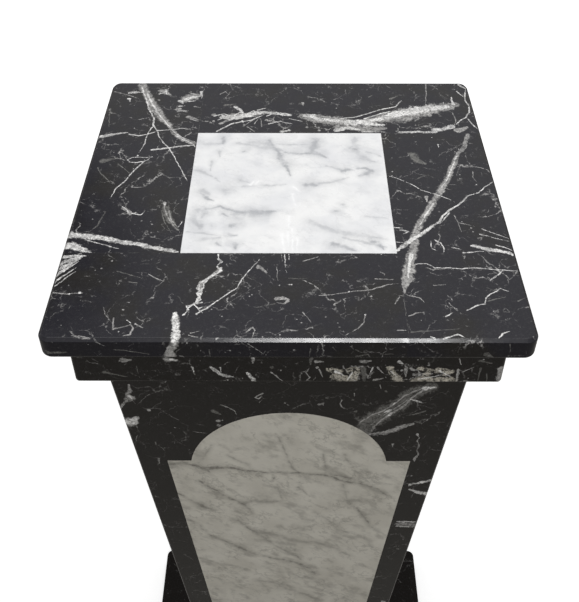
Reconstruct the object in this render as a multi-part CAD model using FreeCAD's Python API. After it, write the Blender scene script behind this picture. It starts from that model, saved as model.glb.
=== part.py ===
"""Pedestal column in black and white marble.

A square pieced top lies on a stepped neck. Below it a hollow square shaft narrows downwards,
with an arched white panel let into each face, and stands on a collar and a two-layer base.
Millimetres, +Z up, origin at the centre of the underside, front face towards -Y.
"""
import FreeCAD, Part
import math
import os

os.makedirs("parts", exist_ok=True)

# Top: four black strips laid pinwheel fashion round a white inlay
top_overhang = 14.0
top_thickness = 18.0
top_corner_radius = 8.0
top_edge_bevel = 2.2
top_edge_easing = 0.5
top_lower_rounding = 3.0
inlay_side = 155.0

# Neck: a backing plate that carries the pieced top, and a pieced collar below it
neck_overhang = 17.0
neck_corner_radius = 3.0
backing_plate_thickness = 22.0
collar_thickness = 18.0
collar_lower_rounding = 2.5
collar_strip_width = 60.0

# Shaft: widths across its outer faces
shaft_head_width = 263.0
shaft_foot_width = 152.0
shaft_height = 802.0
wall_thickness = 18.0
arris_rounding = 1.2

# Pattern on each shaft face, measured along the leaning face; the border is measured level
border_width = 23.5
head_rail_height = 60.0
arch_half_width = 79.5
arch_rise = 68.0
foot_rail_height = 60.0

# Inside the shaft: glued corner blocks, and plugs that centre the neck and the base
corner_block_size = 20.0
corner_block_end_gap = 2.0
plug_height = 20.0
plug_clearance = 1.0

# Foot collar and base
foot_collar_overhang = 17.0
foot_collar_thickness = 18.0
foot_collar_corner_radius = 3.0
foot_collar_rounding = 2.5
base_side = 396.0
base_plate_thickness = 18.0
plinth_plate_thickness = 18.0
base_corner_radius = 9.0
base_edge_rounding = 3.0
base_lower_rounding = 1.0

# How far a cutting shape reaches past what it cuts
cut_margin = 5.0

# Widths that follow the shaft: each layer oversails the one below it
neck_side = shaft_head_width + 2 * neck_overhang
top_side = neck_side + 2 * top_overhang
foot_collar_side = shaft_foot_width + 2 * foot_collar_overhang

# Levels, from the ground up
base_plate_bottom = plinth_plate_thickness
foot_collar_bottom = base_plate_bottom + base_plate_thickness
shaft_bottom = foot_collar_bottom + foot_collar_thickness
shaft_top = shaft_bottom + shaft_height
backing_plate_bottom = shaft_top + collar_thickness
top_bottom = backing_plate_bottom + backing_plate_thickness

# The lean of a shaft face: how far it comes in for each millimetre down
lean = (shaft_head_width - shaft_foot_width) / 2 / shaft_height
slope_factor = math.sqrt(1 + lean ** 2)
face_length = shaft_height * slope_factor
shoulder_distance = head_rail_height + arch_rise
foot_rail_distance = face_length - foot_rail_height

quarter_turn = 90
side_names = ("front", "right", "back", "left")
up = FreeCAD.Vector(0, 0, 1)
origin = FreeCAD.Vector(0, 0, 0)


def turned(shape, quarters):
    """A copy of the shape, turned about the column's axis, anticlockwise seen from above."""
    copy = shape.copy()
    copy.rotate(origin, up, quarter_turn * quarters)
    return copy


def box_between(low, high):
    """A box from its lowest to its highest corner."""
    size = [end - start for start, end in zip(low, high)]
    return Part.makeBox(*size, FreeCAD.Vector(*low))


def centred_block(side, bottom, thickness):
    """A square block centred on the column's axis."""
    half = side / 2
    return box_between((-half, -half, bottom), (half, half, bottom + thickness))


def edges_at_level(shape, level):
    """The edges that lie flat at one height."""
    return [edge for edge in shape.Edges
            if abs(edge.BoundBox.ZMin - level) < 1e-6 and abs(edge.BoundBox.ZMax - level) < 1e-6]


def upright_edges(shape):
    """The edges that run from the shape's underside to its top."""
    height = shape.BoundBox.ZLength
    return [edge for edge in shape.Edges if abs(edge.BoundBox.ZLength - height) < 1e-6]


def plate(side, bottom, thickness, corner_radius, upper_rounding=0, lower_rounding=0, bevel=0):
    """A square plate with rounded corners in plan and eased upper and lower edges.

    A bevel cuts a narrow flat band along the upper edge, and the rounding then eases its two sides.
    """
    top = bottom + thickness
    shape = centred_block(side, bottom, thickness)
    shape = shape.makeFillet(corner_radius, upright_edges(shape))
    if bevel:
        shape = shape.makeChamfer(bevel, edges_at_level(shape, top))
        shape = shape.makeFillet(upper_rounding, edges_at_level(shape, top - bevel))
    if upper_rounding:
        shape = shape.makeFillet(upper_rounding, edges_at_level(shape, top))
    if lower_rounding:
        shape = shape.makeFillet(lower_rounding, edges_at_level(shape, bottom))
    return shape


def pinwheel_strips(whole, side, middle_side):
    """Cut a square plate into four strips round a square middle: back, right, front and left.

    Each strip starts at one corner of the middle and runs on past the next to the plate's edge.
    """
    half = side / 2
    middle = middle_side / 2
    bounds = whole.BoundBox
    back = box_between((-middle, middle, bounds.ZMin - cut_margin),
                       (half + cut_margin, half + cut_margin, bounds.ZMax + cut_margin))
    clockwise = ("back", "right", "front", "left")
    return {name: whole.common(turned(back, -count)) for count, name in enumerate(clockwise)}


def solid_between(lower, upper):
    """A solid with flat sides between two level outlines, one over the other.

    Both outlines run anticlockwise seen from above, so that every face points outwards.
    """
    rings = [lower[::-1], upper]
    for count in range(len(lower)):
        after = (count + 1) % len(lower)
        rings.append([lower[count], lower[after], upper[after], upper[count]])
    faces = [Part.Face(Part.makePolygon(ring + ring[:1])) for ring in rings]
    return Part.makeSolid(Part.makeShell(faces))


def square_outline(half, level):
    """The corners of a level square centred on the column's axis."""
    return [FreeCAD.Vector(x * half, y * half, level) for x, y in ((-1, -1), (1, -1), (1, 1), (-1, 1))]


def square_frustum(low, high, low_half, high_half):
    """A solid with four leaning sides between two level squares."""
    return solid_between(square_outline(low_half, low), square_outline(high_half, high))


def outer_half(level):
    """Half the shaft's width at one height."""
    return shaft_foot_width / 2 + lean * (level - shaft_bottom)


def inner_half(level):
    """Half the width of the hollow inside the shaft at one height."""
    return outer_half(level) - wall_thickness * slope_factor


def shaft_walls():
    """The whole hollow shaft, before it is divided into its pieces."""
    outside = square_frustum(shaft_bottom, shaft_top, outer_half(shaft_bottom), outer_half(shaft_top))
    outside = outside.makeFillet(arris_rounding, upright_edges(outside))
    low = shaft_bottom - cut_margin
    high = shaft_top + cut_margin
    return outside.cut(square_frustum(low, high, inner_half(low), inner_half(high)))


def front_wall():
    """The front quarter of the shaft, mitred through both of its corners."""
    reach = shaft_head_width
    points = [origin, FreeCAD.Vector(-reach, -reach, 0), FreeCAD.Vector(reach, -reach, 0), origin]
    wedge = Part.Face(Part.makePolygon(points)).extrude(up * (shaft_top + cut_margin))
    return shaft_walls().common(wedge)


def on_face(across, down, out=0.0):
    """A point on the front face: across from its middle, down from its top edge, out from it."""
    drop = FreeCAD.Vector(0, lean, -1) / slope_factor
    outwards = FreeCAD.Vector(0, -1, -lean) / slope_factor
    start = FreeCAD.Vector(across, -shaft_head_width / 2, shaft_top)
    return start + drop * down + outwards * out


def panel_edge(down):
    """How far the white panel reaches from the face's middle, at a distance down the face."""
    return shaft_head_width / 2 - lean * down / slope_factor - border_width


def cutter(points, arch=None):
    """A shape that cuts one outline through the front wall, square to the face.

    The outline runs straight between its points, except along the arch, if it has one.
    """
    placed = [on_face(across, down, cut_margin) for across, down in points]
    edges = []
    for count, start in enumerate(placed):
        end = placed[(count + 1) % len(placed)]
        if arch == count:
            crown = on_face(0, head_rail_height, cut_margin)
            edges.append(Part.Arc(start, crown, end).toShape())
        else:
            edges.append(Part.makeLine(start, end))
    depth = on_face(0, 0, -wall_thickness - cut_margin) - on_face(0, 0, cut_margin)
    return Part.Face(Part.Wire(edges)).extrude(depth)


def front_face_pieces():
    """The front face's pieces: head with its arch, two stiles, foot rail and white panel."""
    wall = front_wall()
    wide = shaft_head_width / 2 + cut_margin
    above = -cut_margin
    below = face_length + cut_margin
    shoulder = panel_edge(shoulder_distance)
    foot = panel_edge(foot_rail_distance)
    head = cutter([(-wide, above), (-wide, shoulder_distance), (-arch_half_width, shoulder_distance),
                   (arch_half_width, shoulder_distance), (wide, shoulder_distance), (wide, above)],
                  arch=2)
    stile = [(wide, shoulder_distance), (shoulder, shoulder_distance),
             (foot, foot_rail_distance), (wide, foot_rail_distance)]
    panel = cutter([(-arch_half_width, shoulder_distance), (arch_half_width, shoulder_distance),
                    (shoulder, shoulder_distance), (foot, foot_rail_distance),
                    (-foot, foot_rail_distance), (-shoulder, shoulder_distance)],
                   arch=0)
    rail = cutter([(-wide, foot_rail_distance), (wide, foot_rail_distance),
                   (wide, below), (-wide, below)])
    return {
        "head": wall.common(head),
        "left_stile": wall.common(cutter([(-across, down) for across, down in stile])),
        "right_stile": wall.common(cutter(stile)),
        "foot_rail": wall.common(rail),
        "panel": wall.common(panel),
    }


def corner_block():
    """The block glued up the inside of the front right corner, clear of the plugs at both ends."""
    outlines = []
    for level in (shaft_bottom + plug_height + corner_block_end_gap,
                  shaft_top - plug_height - corner_block_end_gap):
        far = inner_half(level)
        near = far - corner_block_size
        plan = ((near, -far), (far, -far), (far, -near), (near, -near))
        outlines.append([FreeCAD.Vector(x, y, level) for x, y in plan])
    return solid_between(*outlines)


def plug(bottom, narrowest_level):
    """A square block that centres one end of the shaft from inside."""
    side = 2 * (inner_half(narrowest_level) - plug_clearance)
    return centred_block(side, bottom, plug_height)


# The pieced top and its inlay
top_plate = plate(top_side, top_bottom, top_thickness, top_corner_radius,
                  top_edge_easing, top_lower_rounding, top_edge_bevel)
pieces = {f"top_{name}_strip": strip
          for name, strip in pinwheel_strips(top_plate, top_side, inlay_side).items()}
pieces["top_inlay"] = centred_block(inlay_side, top_bottom, top_thickness)

# The neck: the plate that carries the top, and the pieced collar below it
pieces["neck_backing_plate"] = plate(neck_side, backing_plate_bottom, backing_plate_thickness,
                                     neck_corner_radius)
collar_plate = plate(neck_side, shaft_top, collar_thickness, neck_corner_radius,
                     lower_rounding=collar_lower_rounding)
collar_opening = neck_side - 2 * collar_strip_width
for name, strip in pinwheel_strips(collar_plate, neck_side, collar_opening).items():
    pieces[f"neck_collar_{name}_strip"] = strip

# The shaft: the same five pieces on each of its four faces, and a block inside each corner
face_pieces = front_face_pieces()
block = corner_block()
for quarters, side_name in enumerate(side_names):
    for name, piece in face_pieces.items():
        pieces[f"shaft_{side_name}_{name}"] = turned(piece, quarters)
    next_side = side_names[(quarters + 1) % len(side_names)]
    pieces[f"corner_block_{side_name}_{next_side}"] = turned(block, quarters)
pieces["head_plug"] = plug(shaft_top - plug_height, shaft_top - plug_height)
pieces["foot_plug"] = plug(shaft_bottom, shaft_bottom)

# The foot collar and the two layers of the base
pieces["foot_collar"] = plate(foot_collar_side, foot_collar_bottom, foot_collar_thickness,
                              foot_collar_corner_radius, upper_rounding=foot_collar_rounding)
pieces["base_plate"] = plate(base_side, base_plate_bottom, base_plate_thickness,
                             base_corner_radius, upper_rounding=base_edge_rounding)
pieces["plinth_plate"] = plate(base_side, 0, plinth_plate_thickness,
                               base_corner_radius, lower_rounding=base_lower_rounding)

for node, piece in pieces.items():
    piece.exportStep(f"parts/{node}.step")
    print(node, "solids", len(piece.Solids), "volume cm3", round(piece.Volume / 1000, 1),
          "valid", piece.isValid())
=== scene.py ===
"""Finish of a pieced marble pedestal: veined black marble, white inlays and plain studio light."""

import math
import random

import bmesh
import bpy
from bpy.props import FloatProperty, FloatVectorProperty, PointerProperty
from mathutils import Matrix, Vector


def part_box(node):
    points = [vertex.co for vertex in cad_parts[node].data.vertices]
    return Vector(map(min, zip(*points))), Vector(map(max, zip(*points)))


bl_info = {
    "name": "Marble Pedestal Finish",
    "version": (1, 0, 0),
    "blender": (4, 5, 0),
    "location": "View3D > Sidebar > Pedestal",
    "description": "Dresses a pieced marble pedestal in veined stone and lights it",
    "category": "Object",
}

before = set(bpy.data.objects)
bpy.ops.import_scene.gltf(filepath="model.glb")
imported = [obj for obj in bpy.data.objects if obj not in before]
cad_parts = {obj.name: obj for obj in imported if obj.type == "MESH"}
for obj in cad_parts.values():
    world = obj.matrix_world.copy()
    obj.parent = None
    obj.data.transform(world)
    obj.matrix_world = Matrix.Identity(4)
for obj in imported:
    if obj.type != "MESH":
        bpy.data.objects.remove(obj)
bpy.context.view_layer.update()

MM = 0.001
SIDES = ("front", "right", "back", "left")

# Levels, depths and half widths of the object, in mm, read from the frame.
top_low, top_high = (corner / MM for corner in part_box("top_front_strip"))
neck_low, neck_high = (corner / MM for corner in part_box("neck_collar_front_strip"))
head_low, head_high = (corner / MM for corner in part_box("shaft_front_head"))
rail_low, rail_high = (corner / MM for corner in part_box("shaft_front_foot_rail"))
base_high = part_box("base_plate")[1] / MM

TOP_LEVEL = top_high.z
TOP_HALF = -top_low.y
NECK_HALF = -neck_low.y
PLATE_START = round(TOP_LEVEL - top_low.z)
COLLAR_START = round(TOP_LEVEL - neck_high.z)
PLATE_DEPTH = COLLAR_START - PLATE_START
COLLAR_DEPTH = round(neck_high.z - neck_low.z)
SHAFT_TOP = head_high.z
SHAFT_RISE = head_high.z - rail_low.z
HEAD_HALF = -head_low.y
FOOT_HALF = rail_high.x
SHAFT_LEAN = HEAD_HALF - FOOT_HALF
FACE_LENGTH = math.hypot(SHAFT_RISE, SHAFT_LEAN)

# The dim side of the studio, seen only in the polish: the way to it from the object, where it starts
# and is full, as shares of facing it straight on, and how bright it is there.
DIM_SIDE = (-0.33, 0.72, 0.61)
DIM_START = 0.980
DIM_FULL = 0.998
DIM_LEVEL = 0.2

# The band above the floor that the polish sees a little dimmer: its rise, from level to straight up.
BAND_LOW = 0.46
BAND_HIGH = 0.64
BAND_LEVEL = 0.68

# The floor's own glow to the camera. It is weaker near the object, in mm, where the shadow falls.
GLOW_NEAR = 500
GLOW_FAR = 2500
NEAR_GLOW = 0.6

# The lamps point this far below the top face, in mm.
LAMP_AIM_DOWN = 120

# Tones of a vein. A vein fades out between these two shares of its half width.
WHITE = "white"
CREAM = "cream"
GREY = "grey"
FAINT = "faint"
TONES = (FAINT, GREY, CREAM, WHITE)
FADE_END = 1.1
FADE_START = 0.7

# Veins thinner than this, in mm, are drawn at a share of their width. Routes taper to a share at the end.
THIN_VEIN = 3.0
THIN_SHARE = 0.75
TAPER = 0.35

# How far an edge frays, in half widths, and how fast the streaks change from one side to the other.
BLACK_FRAY = 3.0
WHITE_FRAY = 4
STREAK_STEP = 26

# A distance further than any vein, in half widths.
NO_VEIN = 1000.0

# The white marble's streaks: how they tilt, and how much longer than wide they are.
STREAK_TILT = (0, math.radians(40), math.radians(-35))
STREAK_STRETCH = (3.2, 1.0, 1.0)

# Saw marks of the limestone, in radians per mm.
SAW_MARKS = 2.1

# Made-up veins. A side adds its quarter turns to the seed, and a layer of the base its number.
PLATE_SEED = 40
COLLAR_SEED = 50
FRAME_SEED = 70
PANEL_SEED = 90
BASE_SEED = 120

# The neck's are drawn this many times too deep and pressed flat. The front's start below the placed ones.
NECK_PRESS = 4
FRAME_PLACED = 410
PANEL_PLACED = 400
PANEL_SPAN = 190

# ------------------------------------------------------------------ vein routes, in mm
# A route is its tone, its width and its points. A point may carry a new width. On the top a point is
# (x, y) from the middle. Elsewhere it is (x, distance down): from the top face on the slab's edge and the
# neck, and down the slope on the shaft.

LEFT_STRIP = (
    (GREY, 8, (-136, 158), (-131, 146), (-127, 135), (-121, 121, 9), (-115, 108), (-110, 98, 7),
     (-104, 91, 5), (-101, 84, 4), (-97, 76, 5), (-90, 68, 6), (-80, 62, 6)),
    (WHITE, 1.5, (-108, 96), (-102, 86), (-96, 76), (-88, 69), (-79, 64)),
    (WHITE, 2, (-135, 152), (-128, 130), (-124, 115), (-118, 101), (-117, 88), (-113, 82)),
    (WHITE, 2.5, (-129, 142), (-122, 124), (-114, 106), (-108, 96)),
    (WHITE, 2.5, (-95, 73), (-89, 67), (-81, 62)),
    (WHITE, 1.2, (-113, 82), (-110, 72), (-105, 62), (-100, 55), (-96, 47), (-90, 32), (-83, 15), (-80, 9)),
    (WHITE, 1.3, (-118, 87), (-121, 72), (-121, 62), (-124, 48)), (WHITE, 2.5, (-124, 44)),
    (WHITE, 4, (-162, 71), (-150, 75), (-138, 78, 2)),
    (WHITE, 1.5, (-136, 76), (-128, 73), (-124, 74), (-116, 78), (-112, 81), (-100, 83), (-88, 85)),
    (WHITE, 2.5, (-114, 52), (-106, 54), (-98, 56), (-88, 58), (-80, 59), (-78, 56)),
    (WHITE, 1.4, (-112, 42), (-118, 41), (-124, 42), (-129, 41), (-132, 38), (-130, 35), (-125, 34),
     (-120, 35), (-116, 37), (-114, 40)),
    (WHITE, 1.4, (-118, 36), (-122, 28), (-127, 17), (-130, 8), (-135, 0), (-138, -14)),
    (FAINT, 1.6, (-139, -30), (-142, -46), (-147, -55)),
    (GREY, 1.5, (-159, 145), (-151, 142), (-142, 137), (-133, 131)),
    (WHITE, 3.5, (-145, 143), (-140, 144), (-133, 144, 2)), (WHITE, 3.5, (-144, 133), (-143, 128)),
    (GREY, 8, (-115, 146), (-109, 140)), (WHITE, 2.5, (-113, 149), (-111, 140)),
    (WHITE, 2, (-118, 141), (-110, 147)), (GREY, 3, (-117, 131)),
    (GREY, 11, (-93, 133), (-86, 137), (-80, 139)), (WHITE, 4, (-93, 132), (-87, 136), (-80, 138)),
    (WHITE, 3, (-80, 145), (-79, 134)), (WHITE, 2, (-89, 142), (-84, 140)),
    (WHITE, 2, (-90, 128), (-84, 130)), (WHITE, 4.5, (-98, 129), (-95, 125)),
    (WHITE, 2.5, (-98, 120), (-93, 121)), (FAINT, 4, (-90, 144)), (GREY, 4, (-99, 115), (-90, 111)),
    (WHITE, 1.6, (-99, 112), (-88, 113)), (GREY, 4, (-88, 103), (-79, 98)),
    (WHITE, 1.6, (-86, 99), (-79, 96)), (GREY, 3, (-97, 116)), (GREY, 2, (-84, 120), (-79, 118)),
    (FAINT, 1.5, (-154, 27), (-152, 21), (-145, 12), (-141, 6)),
    (FAINT, 1.5, (-139, 32), (-132, 25), (-127, 18)), (FAINT, 1.5, (-158, 115), (-157, 101), (-155, 87)),
    (FAINT, 6, (-152, 36), (-141, 40)), (GREY, 3.5, (-95, -19), (-95, -24)), (WHITE, 2, (-95, -21)),
    (FAINT, 6, (-94, -25), (-90, -38), (-82, -52)),
    (GREY, 1.3, (-95, -24), (-92, -34), (-86, -46), (-80, -55)),
    (GREY, 1.2, (-91, -28), (-88, -40), (-82, -49)), (FAINT, 1.3, (-97, -28), (-93, -42), (-86, -55)),
    (WHITE, 1.2, (-80, -42), (-83, -52)), (GREY, 3.5, (-126, -26), (-122, -29), (-118, -32)),
    (WHITE, 1.5, (-127, -24), (-123, -28), (-120, -33), (-115, -31)),
    (WHITE, 1.2, (-118, -32), (-112, -34), (-109, -30)), (GREY, 2, (-110, -41)), (GREY, 2, (-147, -39)),
    (GREY, 2, (-102, -45)), (GREY, 2, (-101, -55)),
    (WHITE, 7, (-162, -57), (-150, -59, 5.5), (-140, -60), (-130, -63), (-120, -65.5, 5),
     (-110, -67.5, 4), (-100, -71, 4.5), (-90, -73.6, 4), (-80, -76, 3)),
    (WHITE, 1.4, (-148, -63), (-140, -66), (-130, -70), (-122, -73)),
    (WHITE, 9, (-162, -69), (-155, -70, 8), (-148, -74, 5), (-141, -78, 1.5)),
    (FAINT, 0.7, (-140, -77.5), (-78, -77.5)),
)

FRONT_STRIP = (
    (WHITE, 4, (-163, -90), (-156, -86), (-147, -82, 2)),
    (WHITE, 3, (-163, -97), (-156, -91), (-148, -84, 1.5)),
    (WHITE, 3, (-163, -103), (-157, -96), (-149, -87, 1)),
    (WHITE, 2, (-162, -110), (-157, -103), (-149, -93)),
    (WHITE, 1.5, (-160, -112), (-154, -104), (-149, -97)),
    (WHITE, 3, (-160, -82), (-152, -81), (-144, -81, 1)),
    (GREY, 1.5, (-160, -119), (-150, -120), (-140, -119)), (WHITE, 2.5, (-148.5, -120)),
    (WHITE, 2.5, (-142, -119)), (FAINT, 1.5, (-120, -97), (-114, -99), (-102, -104)),
    (FAINT, 1.5, (-110, -108), (-101, -109)), (GREY, 1.3, (-97, -100), (-90, -105), (-85, -108)),
    (GREY, 2, (-131, -94)), (GREY, 2, (-125, -86)), (GREY, 2, (-110, -135)),
    (GREY, 1.5, (-115, -143), (-114, -153), (-108, -151), (-103, -149), (-101, -152), (-102, -158),
     (-112, -160)), (WHITE, 1.2, (-106, -145), (-103, -148)), (WHITE, 2, (-100, -148)),
    (GREY, 1.2, (-100, -148), (-92, -153)), (GREY, 1.5, (-135, -159), (-126, -161)),
    (WHITE, 2, (-50, -79), (-50, -83)), (WHITE, 2.5, (-50, -84), (-47.5, -87), (-50, -91)),
    (WHITE, 2.4, (-50, -92), (-47, -96), (-52, -101), (-57, -105), (-61, -109), (-62, -114), (-59, -119),
     (-61, -124), (-62, -129)),
    (WHITE, 1.8, (-47, -93), (-49, -98), (-55, -103), (-58, -109), (-58, -114), (-62, -119), (-59, -125),
     (-63, -130)), (GREY, 4, (-48, -95), (-54, -103)), (WHITE, 3.4, (-60, -117), (-60, -122)),
    (GREY, 3.4, (-60, -108), (-60, -126)), (WHITE, 1.8, (-58, -128), (-63, -129), (-66, -132), (-68, -137)),
    (WHITE, 1.5, (-60, -134), (-55, -131)), (WHITE, 2.5, (-61, -139)), (WHITE, 2.5, (-69, -139)),
    (GREY, 5, (-74, -141), (-73, -150, 6), (-72, -162, 6)),
    (WHITE, 4, (-75, -139), (-74, -146, 5.5), (-73, -153, 4.5)),
    (WHITE, 6.5, (-72.5, -156), (-72.5, -163, 6)),
    (WHITE, 1.4, (-70, -140), (-66, -135), (-68, -131), (-63, -130), (-60, -134), (-57, -138)),
    (WHITE, 1.2, (-61, -139), (-54, -133, 2), (-47.5, -126, 1.2), (-40, -118), (-35, -114), (-32, -105),
     (-27.5, -96), (-20, -83)), (GREY, 4, (-21, -92), (-15, -98)), (WHITE, 1.5, (-3, -79), (-1.5, -98)),
    (GREY, 1, (-5, -79), (-4, -90)), (GREY, 1, (-8.5, -92), (-7, -108)), (WHITE, 1.6, (-6, -111)),
    (WHITE, 1.6, (2, -110)), (FAINT, 1.2, (0, -104), (16, -104)), (WHITE, 1, (0, -79), (1, -90)),
    (GREY, 3, (-8, -124), (-3, -123.5), (0, -126), (-3, -129)), (GREY, 1.5, (-3, -129), (-8, -128)),
    (FAINT, 1.5, (-9, -129), (-13, -130), (-22, -133)),
    (GREY, 1.5, (-27, -155), (-23, -151), (-21.5, -154), (-23.5, -160)),
    (GREY, 1.5, (-33, -158), (-28, -161)), (GREY, 1.5, (-63, -156), (-57, -154)),
    (GREY, 1.5, (-64, -158), (-58, -160)), (WHITE, 2, (-52, -161.5), (-49, -161.5)),
    (WHITE, 2, (-46, -161), (-44, -161)), (GREY, 1.2, (10, -86), (17, -83), (24, -80)),
    (GREY, 1.2, (21, -121), (30, -120), (41, -117.5), (57, -115), (69, -110), (77, -109)),
    (WHITE, 2.5, (41, -117)), (GREY, 2.5, (53, -112), (55, -116)), (GREY, 2, (56, -122)),
    (GREY, 1.2, (60, -104), (70, -105), (75, -104)),
    (GREY, 1.2, (51, -139), (50, -146), (45, -152), (37, -158)), (WHITE, 2, (51, -139)),
    (GREY, 1.2, (10, -137), (15.5, -147)), (GREY, 1.8, (32.5, -147)), (GREY, 1.8, (33.5, -150.5)),
    (GREY, 1.8, (25, -141)), (GREY, 1.8, (8.5, -147)), (GREY, 2, (75, -122), (71, -130)),
    (GREY, 1.8, (71, -153.5), (77, -153.5)), (FAINT, 0.6, (-77, -77.5), (76, -77.5)),
)

RIGHT_STRIP = (
    (GREY, 3, (151, 76), (148, 67, 3.5), (145, 56, 4), (138, 46, 4), (134, 35, 5), (130, 25), (127, 16),
     (121, 3, 5.5), (115, -9), (109, -21), (103.5, -32), (97.5, -44, 6), (93, -55), (89, -75, 7),
     (86, -85, 7.5), (84.5, -95, 9), (82.5, -104, 9), (80, -110, 5), (79, -118, 2)),
    (WHITE, 1.6, (137, 44), (132, 30), (126, 14), (119, 0)), (WHITE, 2, (110, -20), (103, -34), (97, -46)),
    (WHITE, 3, (88, -78), (85, -90), (83, -103)),
    (WHITE, 1, (162, 10), (152.5, 1, 1.2), (147, -6), (139, -9, 1.5), (129, -21.5, 2), (121.5, -28),
     (115, -35.5, 2.5), (112.5, -41.5), (104, -49, 3), (97.5, -56), (89, -62.5, 3.5), (85, -67, 4),
     (78.5, -74, 3)), (WHITE, 1.4, (121, -31), (116, -39), (112, -44)),
    (WHITE, 1, (80, 16), (89, 11), (98, 3.5), (103.5, -2.5), (109, -5.5), (121.5, -12.5), (126.5, -17.5)),
    (FAINT, 1.3, (100, 11), (105, 15), (112, 18.5)), (FAINT, 1.3, (91, -8), (100, -5)),
    (GREY, 1.2, (140, 29), (151, 29), (159, 25), (162, 17)), (GREY, 1.2, (147, 22), (146, 14), (148, 9)),
    (WHITE, 2, (147, 5)), (GREY, 3, (106, -11), (106, -17)),
    (GREY, 1.2, (124, -34), (126, -41), (127, -54)), (GREY, 1.2, (127, -43), (138, -47)),
    (GREY, 2, (135, -49)), (GREY, 2, (136, -53)), (WHITE, 1.2, (142.5, -50), (152.5, -56), (161.5, -61.5)),
    (WHITE, 1.2, (140, -56), (160, -64)),
    (WHITE, 3, (133, -69), (139, -71.5, 3.5), (147, -74, 4), (157, -76, 3), (162, -80, 2)),
    (WHITE, 1.2, (150, -68), (158, -72), (162, -76)), (WHITE, 2, (125, -76.5), (140, -75)),
    (WHITE, 1.5, (118, -71), (124, -73)),
    (WHITE, 1.5, (106.5, -62.5), (110, -66), (112, -72.5), (111, -77)),
    (WHITE, 1.3, (103, -64), (103, -72), (107, -75)),
    (WHITE, 1.2, (90, -89), (97, -88), (100, -90), (103, -93), (112.5, -93), (121.5, -94), (130, -92.5),
     (140, -94), (150, -95), (162, -96)), (WHITE, 1.3, (150, -95), (147, -99), (141, -104), (138.5, -107)),
    (GREY, 1.3, (100, -111), (108, -110)), (GREY, 1.3, (82, -121), (89, -123), (91.5, -127.5)),
    (GREY, 1.3, (80, -140), (85, -137.5), (93, -136.5)), (WHITE, 1.6, (104, -141), (110, -137)),
    (GREY, 1.2, (108, -128), (112, -135)),
    (WHITE, 1.3, (119, -135), (125, -131), (132, -129), (133, -124), (137, -119), (145, -114),
     (150, -116.5)), (FAINT, 1.5, (134, -126), (147, -122)), (FAINT, 1.5, (136, -113), (142, -117)),
    (FAINT, 1.5, (154.5, -126), (160, -123)), (WHITE, 1.8, (136, -160), (139, -156), (144, -154)),
    (WHITE, 1.6, (92, -159), (97, -162), (105, -159), (110, -157), (114, -160)),
    (FAINT, 1.8, (80, -155), (112, -152)), (WHITE, 1.6, (78, -48), (84, -49)),
    (WHITE, 2, (82, -51), (88, -53), (84, -56)), (WHITE, 1.6, (78, -65), (84, -66)), (WHITE, 2, (120, 71)),
    (WHITE, 2, (124, 61), (124, 56)), (FAINT, 7, (101, 46), (104, 38), (110, 33)),
    (FAINT, 0.8, (78, -120), (78, -160)),
)

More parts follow.
